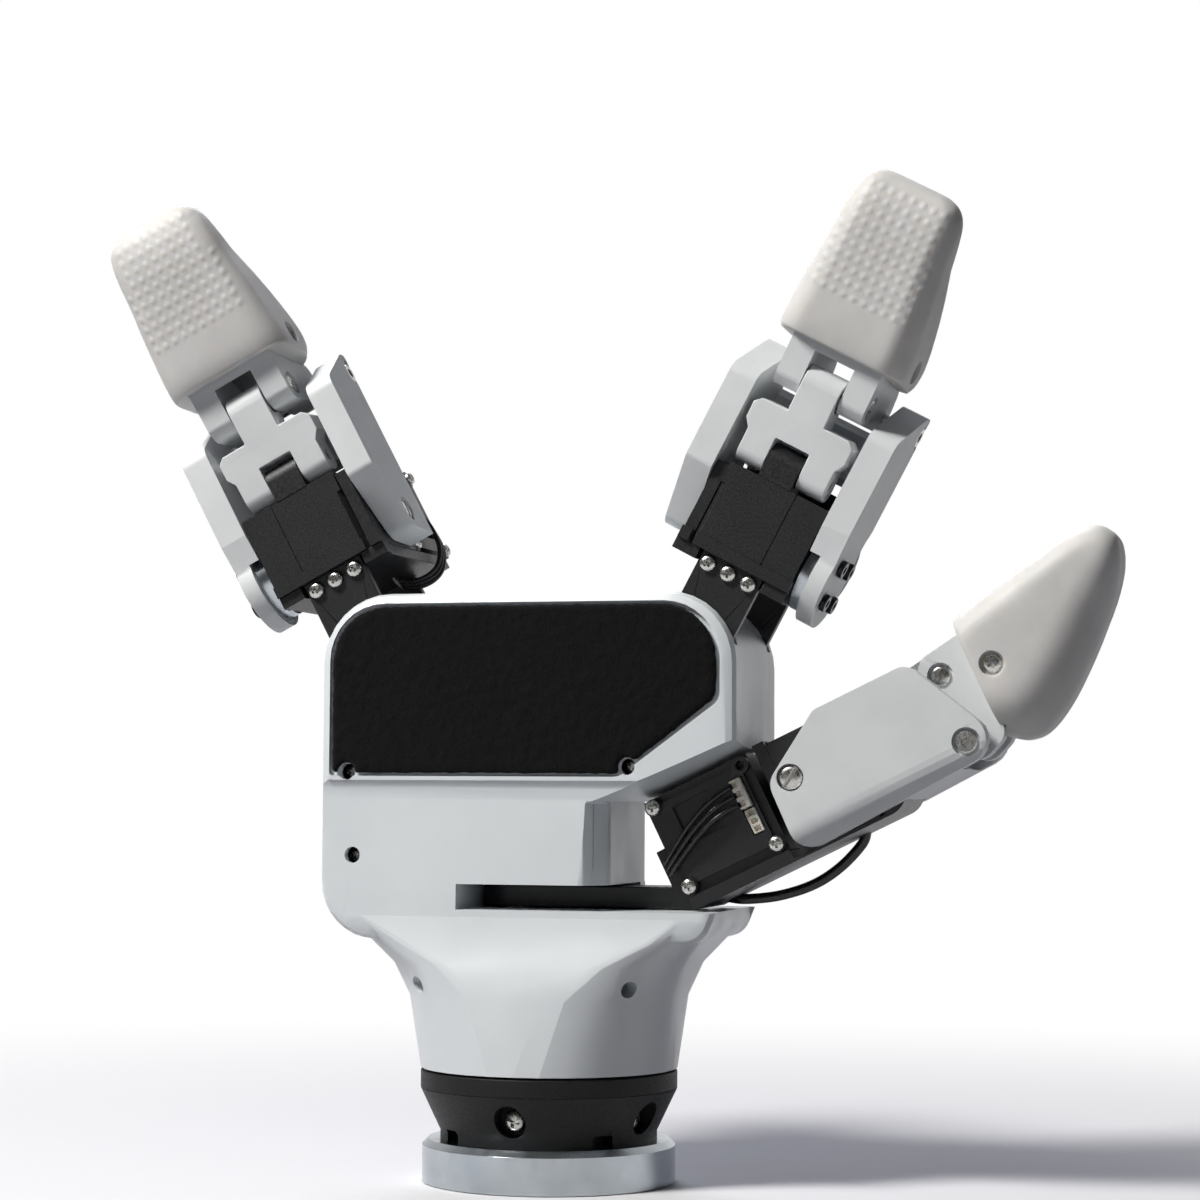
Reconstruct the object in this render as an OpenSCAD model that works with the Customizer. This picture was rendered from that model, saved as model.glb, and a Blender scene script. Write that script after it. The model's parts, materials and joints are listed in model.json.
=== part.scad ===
// Three-finger dexterous robot hand with servo-driven, linkage-coupled fingers.
// Frame: +Z up from the wrist, palm faces -Y, +X towards the thumb.
// Origin: centre of the mounting ring's bottom face. Millimetres.

/* [Wrist] */
// Outer diameter of the mounting ring
ring_d = 63; // [60:1:66]
// Height of the mounting ring
ring_h = 10.5; // [9:0.5:12]
// Bolt circle diameter of the mounting ring
bolt_circle = 50; // [48:1:50]
// Diameter of the centring recess under the mounting ring
register_d = 31.5; // [30:0.5:32]
// Diameter of each mounting bolt hole
bolt_hole_d = 6.6; // [5.5:0.1:7]
// Diameter of the collar under the neck
collar_d = 64; // [62:1:66]

/* [Palm] */
// Half of the palm's width
palm_half = 52.5; // [52:0.5:54]
// Thickness of the palm, front to back
palm_depth = 50; // [48:1:52]
// Height of the palm's top edge above the wrist
palm_top = 145; // [144:0.5:146]
// Wall thickness of the palm shells
wall = 3; // [2.4:0.1:3.5]

/* [Fingers] */
// Sideways lean of the two upper fingers
finger_lean = 28; // [26:1:29]
// Flexion of the two upper fingers as drawn
finger_flex = 0; // [0:1:20]
// Rise of the thumb's axis above the horizontal
thumb_rise = 26; // [25:1:27]
// Half of the width over a finger's side covers
cover_half = 22.5; // [22:0.5:23]
// Width of a fingertip pad at its base
pad_w = 35; // [33:0.5:35.5]
// Diameter of the finger linkage pins
pin_d = 3; // [2.5:0.1:3.2]

/* [Hidden] */
$fn = 48;

white = "whitesmoke";
black = "#202226";
steel = "silver";
silicone = "ivory";

// Running clearance of the pins, and the gap between pieces that pass each other
run = 0.05;
gap = 0.4;

// Wrist heights, from the bottom up
flange_z = ring_h;
collar_z = flange_z + 12.5;
neck_z = collar_z + 5;

// Palm planes, front to back
front_y = -palm_depth / 2;
back_y = palm_depth / 2;
seam_y = 17;
palm_low = 64;
slot_low = 67.5;
slot_high = 73.7;
pocket = 1.2;

// Spread pivots of the upper fingers and swing axis of the thumb
spread_x = 38;
spread_z = 126;
reach = 35;
swing_x = -9;
plate_front = -21.5;
plate_back = 17.4;
plate_t = 2.5;
plate_half = 8.3;

// Flexion axes
finger_y = -12;
thumb_pos = [65.5, 0, 100];

// Linkage in each finger's (u, v) plane: u runs out along the finger, v to the palm side.
// tip_pivot and link_pin are the ends of the moving four-bar, boss_at is its fixed pivot.
tip_pivot = [41.5, -10.7];
link_pin = [8.4, 15.4];
boss_at = [20.5, 7];
rod_len = 20.1;
rod_start = 4.6;
rod_ratio = 1.87;
tip_start = 28;
tip_ratio = 0.55;
// The rod's upper eye is wide, because its angle follows the finger at a fixed ratio
eye_r = 3.75;

// Servo body: half width across, and its box in the finger's own frame
servo_half = 15;
servo_low = -6.5;
servo_high = 15.4;
servo_front = -11;
servo_back = 17.2;

function unit(v) = v / norm(v);

function fillet(a, b, c, r, n) =
  r <= 0 ? [b] :
  let (
    u = unit(a - b),
    w = unit(c - b),
    half = acos(u * w) / 2,
    centre = b + unit(u + w) * r / sin(half),
    start = b + u * r / tan(half) - centre,
    stop = b + w * r / tan(half) - centre,
    a0 = atan2(start[1], start[0]),
    a1 = atan2(stop[1], stop[0]),
    turn = (a1 - a0 + 900) % 360 - 180
  )
  [for (k = [0:n]) centre + r * [cos(a0 + turn * k / n), sin(a0 + turn * k / n)]];

function xy(p) = [p[0], p[1]];

// Closed outline whose corners are [x, y, radius]
function rounded(p, n = 6) = [
  for (i = [0:len(p) - 1])
    each fillet(xy(p[(i + len(p) - 1) % len(p)]), xy(p[i]), xy(p[(i + 1) % len(p)]), p[i][2], n)
];

function turned(p, a) = [p[0] * cos(a) - p[1] * sin(a), p[0] * sin(a) + p[1] * cos(a)];

// Extrudes an X-Z outline from y0 to y1
module along_y(y0, y1) {
  translate([0, y1, 0]) rotate([90, 0, 0]) linear_extrude(y1 - y0) children();
}

// Extrudes a (u, v) outline across the finger from x0 to x1
module across(x0, x1) {
  translate([x0, 0, 0]) rotate([0, -90, 180]) linear_extrude(x1 - x0) children();
}

// Round bar across the finger at (u, v)
module cross_pin(at, r, x0, x1) {
  translate([x0, -at[1], at[0]]) rotate([0, 90, 0]) cylinder(r = r, h = x1 - x0);
}

// Box from its two corners
module block(a, b) {
  translate(a) cube(b - a);
}

// ---------- Wrist ----------

module mounting_ring() {
  color(steel) difference() {
    union() {
      cylinder(d = ring_d, h = ring_h - 1.5, $fn = 96);
      translate([0, 0, ring_h - 1.5]) cylinder(d1 = ring_d, d2 = ring_d - 3, h = 1.5, $fn = 96);
    }
    translate([0, 0, -1]) cylinder(d = register_d, h = 7);
    for (i = [0:3]) rotate([0, 0, 45 + 90 * i]) translate([bolt_circle / 2, 0, -1])
      cylinder(d = bolt_hole_d, h = ring_h + 2);
  }
}

module wrist_flange() {
  color(black) difference() {
    translate([0, 0, flange_z]) union() {
      cylinder(d = collar_d - 10, h = 2, $fn = 96);
      translate([0, 0, 2]) cylinder(d1 = collar_d - 10, d2 = collar_d, h = 10.5, $fn = 96);
    }
    for (i = [0:3]) rotate([0, 0, 45 + 90 * i]) translate([bolt_circle / 2, 0, flange_z - 1])
      cylinder(d = bolt_hole_d, h = 4);
    for (a = screw_angles) rotate([0, 0, a]) translate([0, 0, flange_z + 6.5]) rotate([0, 90, 0])
      translate([0, 0, 24]) cylinder(r = 4, h = 12);
  }
}

// Radial screws of the wrist joint, seen in round recesses
screw_angles = [-93, -20, 87, 160];

module wrist_screws() {
  color(steel) for (a = screw_angles) rotate([0, 0, a]) translate([24, 0, flange_z + 6.5])
    rotate([0, 90, 0]) cylinder(r = 2.8, h = 2.2);
}

module wrist_collar() {
  color(black) translate([0, 0, collar_z]) difference() {
    cylinder(d = collar_d, h = neck_z - collar_z - 0.6, $fn = 96);
    translate([0, 0, -1]) cylinder(d = 46, h = 8);
  }
}

// ---------- Palm shells ----------

// Outline of the palm in X-Z, corner radii included. The lip under the arm's slot is shorter.
lip_short = 6;

module palm_outline(inset = 0) {
  w = palm_half - inset;
  low = palm_low - 4 + inset;
  polygon(rounded([
    [-w, low, 14], [w - lip_short, low, 6], [w - lip_short, slot_high, 0.2], [w, slot_high + 6, 0.2],
    [w, palm_top - inset, 17.5 - inset], [-w, palm_top - inset, 17.5 - inset]
  ], 8));
}

// Body of the palm, with its front (side -1) or back (side 1) edges rounded in steps
edge_steps = [[0, 2.4], [0.7, 0.75], [2.4, 0]];

module palm_body(side) {
  for (k = [0:1]) {
    step = edge_steps[k];
    next = edge_steps[k + 1];
    hull() {
      along_y(side * (back_y - step[0]) - 0.02, side * (back_y - step[0]) + 0.02) palm_outline(step[1]);
      along_y(side * (back_y - next[0]) - 0.02, side * (back_y - next[0]) + 0.02) palm_outline(next[1]);
    }
  }
  along_y(front_y + 2.4, back_y - 2.4) palm_outline();
}

// Soft step under the foam, fading out towards the slot
module front_step() {
  translate([-60, 0, 0]) rotate([90, 0, 90]) linear_extrude(120) polygon([
    [front_y - 3, 99], [front_y + 0.1, 99], [front_y + 0.9, 97.6], [front_y + 1.3, 94.5],
    [front_y, slot_high - 8], [front_y - 3, slot_high - 8]
  ]);
}

// Cross-section of the neck at a height: half sizes across and front to back, corner radius
module neck_slice(z, half_x, half_y, r) {
  translate([0, 0, z]) linear_extrude(0.1) polygon(rounded([
    [-half_x, -half_y, r], [half_x, -half_y, r], [half_x, half_y, r], [-half_x, half_y, r]
  ], 8));
}

// Neck that flares from the round collar into the flat palm
module neck() {
  hull() { neck_slice(neck_z, 32, 32, 31.8); neck_slice(46, 34, 31, 27); }
  hull() { neck_slice(46, 34, 31, 27); neck_slice(54, 37, 28.5, 20); }
  hull() { neck_slice(54, 37, 28.5, 20); neck_slice(60, 42, 26, 12); }
  hull() {
    neck_slice(60, 42, 26, 12);
    translate([-1.8, 0, 0]) neck_slice(slot_low - 0.5, 47, 24.8, 5);
  }
}

// Space swept by the thumb's base about its swing axis
module thumb_recess() {
  rise = tan(thumb_rise);
  along_y(front_y - 8, back_y + 8) polygon([[20, slot_low], [70, slot_low], [70, 94], [20, 94]]);
  intersection() {
    translate([swing_x, 0, 0]) rotate_extrude($fn = 96) polygon([
      [34, slot_low], [90, slot_low], [90, 93.5 + 56 * rise], [34, 93.5]
    ]);
    block([2, -60, 40], [90, 60, 140]);
  }
}

// Vertical corner of the lower block, rounded at the front and at the back
module block_corner(side) {
  translate([11, side * 16, slot_high]) difference() {
    block([0, side > 0 ? 0 : -10, 0], [10, side > 0 ? 10 : 0, 20.3]);
    translate([0, 0, -1]) cylinder(r = 9, h = 30);
  }
}

// Hollow inside the shells
module palm_cavity() {
  along_y(front_y + wall, back_y - wall) polygon(rounded([
    [-palm_half + wall, slot_high + 2, 6], [17, slot_high + 2, 2], [17, 97, 4], [27, 99, 6],
    [palm_half - wall, 112, 4], [palm_half - wall, palm_top - wall, 14],
    [-palm_half + wall, palm_top - wall, 14]
  ]));
  translate([0, 0, neck_z - 1]) cylinder(r = 22.5, h = slot_low - neck_z - 3);
}

// Slot in which a finger's bracket plate swings, at one side of the palm
module plate_slot(y0, y1) {
  half = plate_half + gap;
  for (side = [-1, 1]) translate([side * spread_x, 0, spread_z]) along_y(y0, y1) {
    for (lean = [-0.6, finger_lean + 3.6]) rotate(-side * lean) translate([-half, 0])
      square([2 * half, 30]);
    polygon([for (lean = [0:5:finger_lean + 3]) 30 * [side * sin(lean), cos(lean)], [0, 0]]);
    circle(half);
  }
}

module palm_solid(side) {
  difference() {
    union() {
      palm_body(side);
      neck();
    }
    front_step();
    thumb_recess();
    for (side = [-1, 1]) block_corner(side);
    // Slot of the thumb's arm, open to the right
    block([-17, front_y - 8, slot_low], [70, seam_y - 4, slot_high]);
    palm_cavity();
    translate([swing_x, 0, slot_low - 8]) cylinder(r = 4 + run, h = 20);
    plate_slot(plate_front - gap, plate_front + plate_t + gap);
    plate_slot(plate_back - gap, plate_back + plate_t + gap);
  }
}

// Places of the shell screws' holes on the front, [x, z]
screw_places = [[-44, 80.5], [-45.6, 101], [26, 102.4]];

module front_shell() {
  color(white) difference() {
    intersection() {
      palm_solid(-1);
      block([-60, -40, 20], [60, seam_y - 0.1, 150]);
    }
    along_y(front_y - 1, front_y + pocket) foam_outline(0.5);
    for (p = screw_places) translate([p[0], front_y + 8, p[1]]) rotate([90, 0, 0])
      cylinder(r = 2, h = 20);
    for (a = [-48, 48]) rotate([0, 0, a]) translate([0, -40, 49]) rotate([-90, 0, 0])
      cylinder(r = 2.05, h = 20);
  }
}

module back_shell() {
  color(white) intersection() {
    palm_solid(1);
    block([-60, seam_y, 20], [60, 40, 150]);
  }
}

module foam_outline(grow = 0) {
  g = grow;
  polygon(rounded([
    [-49.6 - g, 100.5 - g, 1], [24, 100.5 - g, 4], [48.4 + g, 119 - g, 4],
    [48.4 + g, palm_top - 3 + g, 14], [-49.6 - g, palm_top - 3 + g, 14]
  ], 8));
}

module foam_pad() {
  color("#1a1a1c") difference() {
    along_y(front_y - 0.8, front_y + pocket) foam_outline(-0.2);
    for (p = screw_places) translate([p[0], front_y + 8, p[1]]) rotate([90, 0, 0])
      cylinder(r = 2.2, h = 20);
  }
}

module shell_screws() {
  color(steel) {
    for (p = screw_places) translate([p[0], front_y + 7.9, p[1]]) rotate([90, 0, 0])
      cylinder(r = 1.9, h = 3);
    for (a = [-48, 48]) rotate([0, 0, a]) translate([0, -27, 49]) rotate([-90, 0, 0])
      cylinder(r = 1.95, h = 3);
  }
}

// ---------- Inside the palm ----------

// Skeleton that carries the finger pivots
module palm_frame() {
  color("#3a3c40") difference() {
    union() {
      block([-46, -14, 116], [46, 12, 120]);
      for (side = [-1, 1]) translate([side * spread_x, 0, spread_z]) along_y(-18.2, 16.4)
        circle(6);
      for (side = [-1, 1]) block([side * spread_x - 6, -14, 118], [side * spread_x + 6, 12, 126]);
      block([-30, -10, 78], [-24, 12, 118]);
      block([-40, -10, 76.2], [-24, 12, 79]);
    }
    for (side = [-1, 1]) translate([side * spread_x, 0, spread_z]) along_y(-30, 30) circle(2.5 + run);
  }
}

module spread_pins() {
  color(steel) for (side = [-1, 1]) translate([side * spread_x, 0, spread_z])
    along_y(plate_front - 0.3, plate_back + plate_t + 0.3) circle(2.5);
}

// Servo that swings the thumb, above the arm's slot
module swing_servo() {
  color(black) translate([swing_x, 0, 0]) difference() {
    union() {
      block([-12, -14, 80], [12, 14, 106]);
      translate([0, 0, 77]) cylinder(r = 9, h = 3.2);
    }
    translate([0, 0, 70]) cylinder(r = 4, h = 16);
  }
}

module swing_pin() {
  color(steel) translate([swing_x, 0, slot_low - 6]) cylinder(r = 4, h = 24);
}

// ---------- Finger module, in its own frame ----------
// Z runs out along the finger, -Y is the palm side, X is the flexion axis with the horn at +X.

// Flexion servo: case with two end caps, a lip and a stepped front
module flex_servo() {
  color(black) difference() {
    union() {
      block([-servo_half + 3.2, servo_front, servo_low + 3], [servo_half, servo_back, servo_high]);
      block([-servo_half, servo_front + 0.8, servo_low + 3], [-servo_half + 3, servo_back, servo_high - 1]);
      block([-servo_half - 0.2, servo_front - 0.5, servo_low], [servo_half + 0.2, servo_back, servo_low + 3]);
      block([-servo_half + 2.9, servo_front + 2, servo_low], [servo_half, servo_back - 1, servo_high - 2]);
    }
    cross_pin([0, 0], 3 + run, -20, -servo_half + 5);
    cross_pin([0, 0], 4, servo_half - 3, 20);
    // Groove between the case halves
    block([6.2, servo_front - 1, servo_low + 3], [6.5, servo_front + 0.4, servo_high + 1]);
    // Chamfer on the palm-side edge of the cap
    translate([-servo_half + 3.2, servo_front, -20]) rotate([0, 0, 45]) cube([1.6, 1.6, 60], center = true);
  }
}

// Places of the rear servo's cover screws
rear_screw_y = [servo_back + 2.7, servo_back + 26.6];
rear_screw_z = [-4.1, 17.9];

// Second servo of an upper finger, behind the first, with its cover plate towards the palm's middle
module rear_servo() {
  back = servo_back + 0.2;
  color(black) difference() {
    union() {
      block([-servo_half + 3, back, servo_low], [servo_half, back + 28.5, servo_high + 4.1]);
      block([-servo_half, back + 1.5, servo_low + 1.5], [-servo_half + 3.1, back + 27, servo_high + 2]);
      for (y = rear_screw_y, z = rear_screw_z) translate([-servo_half, y, z]) rotate([0, 90, 0])
        cylinder(r = 2.3, h = 3.1);
      translate([servo_half - 0.1, back + 14, 3]) rotate([0, 90, 0]) cylinder(r = 8, h = 2.6);
    }
    block([-servo_half - 1, back + 6, -1], [-servo_half + 1.6, back + 22.5, 11]);
    for (y = rear_screw_y, z = rear_screw_z) translate([-servo_half - 1, y, z]) rotate([0, 90, 0])
      cylinder(r = 1, h = 5);
  }
}

// Frame that carries both servos on the spread pivot
module bracket() {
  bottom = servo_low - 3;
  color(black) difference() {
    union() {
      block([-servo_half - 0.5, servo_front + 0.6, bottom], [-plate_half - 0.6, servo_front + 5, servo_low]);
      block([plate_half + 0.6, servo_front + 0.6, bottom], [servo_half + 0.3, servo_front + 5, servo_low]);
      block([-plate_half, servo_front + 1.5, bottom], [plate_half, servo_back + 28, servo_low]);
      block([-servo_half, servo_front + 5, bottom], [servo_half, servo_back + 24, servo_low]);
      for (y = [plate_front, plate_back]) translate([0, y - finger_y, -reach])
        along_y(0, plate_t) plate_outline();
    }
    translate([0, 0, -reach]) along_y(-30, 60) circle(2.5 + run);
  }
}

// Plate of the bracket, round at the spread pivot
module plate_outline() {
  circle(plate_half);
  translate([-plate_half, 0]) square([2 * plate_half, reach + servo_low - 0.02]);
}

// Silver screws of an upper finger's base
module base_screws() {
  color(steel) {
    for (x = [-5.6, 0, 5.6]) translate([x, plate_front - finger_y - 0.02, servo_low - 2.6])
      rotate([90, 0, 0]) cylinder(r = 2, h = 1.5);
    for (y = rear_screw_y, z = rear_screw_z) translate([-servo_half + 2, y, z]) rotate([0, -90, 0]) {
      cylinder(r = 0.98, h = 3);
      translate([0, 0, 2.02]) cylinder(r = 1.8, h = 1.4);
    }
  }
}

// Round-ended boss between the rod's ears
module boss() {
  color(black) {
    difference() {
      union() {
        cross_pin(boss_at, 4.2, -4.4, 4.4);
        translate([0, -boss_at[1], 0]) block([-4.4, -4.2, servo_high], [4.4, 4.2, boss_at[0]]);
      }
      cross_pin(boss_at, 1.5, -20, 20);
    }
    cross_pin(boss_at, 1.48, -11.4, 11.4);
  }
}

// Aluminium output horn
module horn() {
  color(steel) difference() {
    union() {
      cross_pin([0, 0], 9.6, servo_half + 0.5, servo_half + 3.2);
      cross_pin([0, 0], 3.9, servo_half - 2.6, servo_half + 1);
    }
    for (i = [0:3]) cross_pin(turned([6.4, 0], 45 + 90 * i), 1.25, servo_half + 0.4, 22);
  }
}

// Side outlines of the two covers in (u, v)
cover_shape = [
  [-6, -17.6, 5], [50, -15.2, 6], [36.8, 12, 4], [12, 12, 2.5], [-5.4, 1.2, 5]
];
horn_shape = [
  [20, -16.4, 3], [50, -15.2, 6], [36.8, 12, 4], [12, 12, 2.5], [-4, 9, 1], [-2, -10, 1],
  [13, -9.5, 4]
];

// Section of the two covers across the finger: round at the back corners
module cover_section() {
  w = cover_half;
  translate([0, 0, -20]) linear_extrude(90) difference() {
    polygon(rounded([[-w, -14, 0.8], [w, -14, 0.8], [w, 18.5, 8], [-w, 18.5, 8]], 8));
    polygon([[-servo_half - gap, -20], [servo_half + gap, -20], [servo_half + gap, 13.5],
             [-servo_half - gap, 13.5]]);
  }
}

// Cover on the horn side, with its half of the back wall
module horn_cover() {
  color(white) difference() {
    intersection() {
      union() {
        across(0, cover_half) polygon(rounded(horn_shape));
        across(servo_half, cover_half) circle(11.4);
      }
      cover_section();
      block([0.05, -30, -30], [40, 30, 80]);
    }
    cover_relief();
    cross_pin([0, 0], 11.8, 10, servo_half + 3.3);
    block([10, -30, -30], [servo_half + 3.3, 30, 5]);
    for (i = [0:3]) cross_pin(turned([6.4, 0], 45 + 90 * i), 1.4, 10, 30);
    cross_pin(tip_pivot, pin_d / 2, 0, 30);
    cross_pin(tip_pivot, 3.4, cover_half - 1.6, 30);
  }
}

// Cover on the idler side, with the other half of the back wall
module idler_cover() {
  color(white) difference() {
    intersection() {
      across(-cover_half, 0) polygon(rounded(cover_shape));
      cover_section();
      block([-40, -30, -30], [-0.05, 30, 80]);
    }
    cover_relief();
    cross_pin([0, 0], 1.5, -30, 0);
    cross_pin([0, 0], 3.3, -30, -cover_half + 2);
    cross_pin(tip_pivot, pin_d / 2, -30, 0);
    cross_pin(tip_pivot, 3.4, -30, -cover_half + 1.6);
  }
}

// Room behind the servo's corners and the tip link, over the finger's travel
module cover_relief() {
  block([-servo_half - gap, -30, -30], [servo_half + gap, 30, 21]);
  cross_pin([0, 0], 27.5, -servo_half - gap, servo_half + gap);
  cross_pin(tip_pivot, 6.6, -servo_half - gap, servo_half + gap);
}

module horn_screws() {
  color(black) for (i = [0:3]) {
    at = turned([6.4, 0], 45 + 90 * i);
    cross_pin(at, 1.22, servo_half + 0.6, cover_half);
    cross_pin(at, 2.2, cover_half + 0.02, cover_half + 1.5);
  }
}

// Slotted idler screw at the flexion axis and the long pin at the tip's pivot
module pivot_screws() {
  color(steel) {
    difference() {
      union() {
        cross_pin([0, 0], 2.9, -cover_half + 0.2, -cover_half + 1.98);
        cross_pin([0, 0], 1.48, -cover_half + 1, -servo_half + 2);
      }
      block([-30, -0.4, -3.5], [-cover_half + 1, 0.4, 3.5]);
    }
    cross_pin(tip_pivot, pin_d / 2 - 0.02, -cover_half + 1, cover_half - 1);
    for (x = [-cover_half + 0.3, cover_half - 1.58]) cross_pin(tip_pivot, 2.6, x, x + 1.28);
  }
}

// Rod from the boss to the tip link, in its own (u, v) frame with the boss at the origin
rod_side = [
  [-4.1, -3.9, 3.6], [10, -3.4, 2], [rod_len, -4.7, 3], [rod_len + 4.7, -4.7, 4.3],
  [rod_len + 4.7, 4.7, 4.3], [rod_len, 4.7, 3], [10, 4.2, 2], [-4.1, 4, 3.6]
];

module rod() {
  color(white) difference() {
    intersection() {
      across(-14, 14) polygon(rounded(rod_side));
      // Ears, chamfered shoulders and the narrow tongue, seen from the palm side
      along_y(-10, 10) polygon([
        [-12, -6], [-4.6, -6], [-4.6, 5], [4.6, 5], [4.6, -6], [12, -6], [12, 4.2], [13.6, 6.5],
        [13.6, 10.6], [11.8, 12.2], [5, 12.2], [5, 30], [-5, 30], [-5, 12.2], [-11.8, 12.2],
        [-13.6, 10.6], [-13.6, 6.5], [-12, 4.2]
      ]);
    }
    cross_pin([0, 0], 1.5 + run, -20, 20);
    cross_pin([rod_len, 0], eye_r, -20, 20);
  }
}

// ---------- Fingertip, in its own frame with the tip pivot at the origin ----------

fork_floor = 17.2;
link_side = [
  [-5.2, -4.6, 4.6], [5.4, -5.6, 4], [17, 3, 2], [34, 2, 3], [34, 11, 3], [20, 17.5, 2],
  [9, 21.5, 2.5], [5.8, 20.5, 3], [-2.4, 3.6, 4]
];

// Forked link between the covers, with a core inside the soft pad
module tip_link() {
  color(white) difference() {
    across(-12, 12) polygon(rounded(link_side));
    // Fork for the rod's tongue
    across(-5.4, 5.4) polygon([[-12, -12], [fork_floor, -12], [fork_floor, 30], [-12, 30]]);
    cross_pin([0, 0], pin_d / 2 + run, -20, 20);
    cross_pin(link_pin, pin_d / 2, -20, 20);
    for (x = [-12.1, 10.9]) cross_pin(link_pin, 3.2, x, x + 1.2);
    cross_pin([18.2, 6.7], 1.4, -20, 20);
  }
}

module tip_pins() {
  color(steel) {
    cross_pin(link_pin, pin_d / 2 - 0.02, -10.9, 10.9);
    for (x = [-11.9, 10.92]) cross_pin(link_pin, 2.4, x, x + 0.98);
    for (s = [-1, 1]) cross_pin([18.2, 6.7], 1.38, min(s * 8, s * 14.5), max(s * 8, s * 14.5));
    for (s = [-1, 1]) cross_pin([18.2, 6.7], 2.3, min(s * 14.5, s * 16), max(s * 14.5, s * 16));
  }
}

// Soft pad: rounded body, flat palm side, open underneath for the link
module tip_pad() {
  w = pad_w / 2;
  color(silicone) difference() {
    hull() {
      for (x = [-1, 1]) {
        translate([x * (w - 5), 8.5, 14]) sphere(r = 5, $fn = 20);
        translate([x * (w - 5), -15.5, 23.5]) sphere(r = 5, $fn = 20);
        translate([x * (w - 8.5), 3.4, 42]) sphere(r = 5, $fn = 20);
        translate([x * (w - 10), -3.8, 53]) sphere(r = 6, $fn = 20);
      }
      translate([-w, -18.6, 20]) cube([pad_w, 6, 2]);
      translate([-w, 4, 11.5]) cube([pad_w, 6, 2]);
    }
    // Pocket for the link's core
    across(-12.1, 12.1) polygon(rounded([
      [0, -4.2, 0], [14, -4.2, 0], [18, 2.6, 1], [34.4, 1.6, 3], [34.4, 11.4, 3], [20, 18, 2],
      [14, 30, 0], [0, 30, 0]
    ]));
    for (s = [-1, 1]) cross_pin([18.2, 6.7], 3, min(s * 14.5, s * 20), max(s * 14.5, s * 20));
    cross_pin([18.2, 6.7], 1.4, -16, 16);
  }
}

// ---------- Placing of the moving pieces ----------

module at_proximal(flex) {
  rotate([flex, 0, 0]) children();
}

module at_rod(flex) {
  translate([0, -boss_at[1], boss_at[0]]) rotate([rod_start + rod_ratio * flex, 0, 0]) children();
}

module at_tip(flex) {
  p = turned(tip_pivot, flex);
  translate([0, -p[1], p[0]]) rotate([tip_start + (1 + tip_ratio) * flex, 0, 0]) children();
}

module at_index() {
  translate([spread_x, finger_y, spread_z]) rotate([0, finger_lean, 0])
    translate([0, 0, reach]) children();
}

module at_middle() {
  mirror([1, 0, 0]) at_index() children();
}

module at_thumb() {
  translate(thumb_pos) rotate([0, 90 - thumb_rise, 0]) rotate([0, 0, -90])
    mirror([1, 0, 0]) children();
}

// ---------- Thumb base, in the thumb's own frame ----------

// Servo with its connector face outwards (local -X is the far side)
module thumb_base_servo() {
  color(black) difference() {
    union() {
      block([-servo_half, -11, -37.4], [servo_half - 3, 14.6, -9.2]);
      block([servo_half - 3.1, -9, -35], [servo_half - 1.4, 12, -11.5]);
      for (y = [-8.8, 12.2], z = [-35.2, -11.2]) translate([servo_half - 3.1, y, z])
        rotate([0, 90, 0]) cylinder(r = 2.1, h = 2.6);
    }
    block([servo_half - 4.4, -6.4, -15.6], [servo_half, 8, -12.2]);
    block([servo_half - 2.4, -7, -31], [servo_half, 3, -21]);
    for (y = [-8.8, 12.2], z = [-35.2, -11.2]) translate([servo_half - 4, y, z])
      rotate([0, 90, 0]) cylinder(r = 1.1, h = 6);
  }
}

// Angular housing under both thumb servos
module thumb_housing() {
  color(black) difference() {
    across(-servo_half, servo_half) polygon(rounded([
      [-36.6, -18, 1], [19, -18, 6], [24, -14.5, 3], [21, -11, 2], [servo_high + 1, -11.5, 0.5],
      [servo_high + 0.2, -17.3, 0.3], [-8.8, -17.3, 0.3], [-9, -14.8, 0.3], [-36.6, -14.8, 0.5]
    ]));
  }
}

// Arm that swings the thumb, running from the swing pin to the housing
module thumb_arm() {
  color(black) difference() {
    union() {
      along_y(-8, 8) polygon([
        [swing_x, slot_low + 0.4], [39.2, slot_low + 0.4], [38, 70.9],
        [32.1, 83], [29.2, 81.5], [33.3, slot_high - 0.6], [swing_x, slot_high - 0.6]
      ]);
      translate([swing_x, 0, slot_low + 0.4]) cylinder(r = 8, h = slot_high - slot_low - 1);
    }
    translate([swing_x, 0, slot_low - 1]) cylinder(r = 4 + run, h = 12);
  }
}

module thumb_base_screws() {
  color(steel) for (p = [[-8.8, -35.2], [12.2, -35.2], [12.2, -11.2]])
    translate([servo_half - 4, p[0], p[1]]) rotate([0, 90, 0]) {
      cylinder(r = 1.08, h = 3.5);
      translate([0, 0, 3.52]) cylinder(r = 1.9, h = 1.4);
    }
}

module thumb_plug() {
  color(white) block([servo_half - 4.3, -6.2, -15.4], [servo_half + 0.6, 1.2, -12.6]);
}

// Three wires from the plug down into the palm's slot, as hand-set points in the thumb's frame
wire_route = [
  [14.7, -2.5, -15.75], [15.4, -2.4, -18], [16.4, -1.6, -22], [16.3, 0.2, -27],
  [15.5, 2.6, -32], [14.7, 4.8, -36], [13.2, 6.2, -38.8]
];
wire_r = 0.65;

function bspline(p, t) =
  let (
    i = min(floor(t), len(p) - 2),
    f = t - i,
    a = p[max(i - 1, 0)], b = p[i], c = p[i + 1], d = p[min(i + 2, len(p) - 1)]
  )
  0.5 * (2 * b + (c - a) * f + (2 * a - 5 * b + 4 * c - d) * f * f
         + (3 * b - a - 3 * c + d) * f * f * f);

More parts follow.
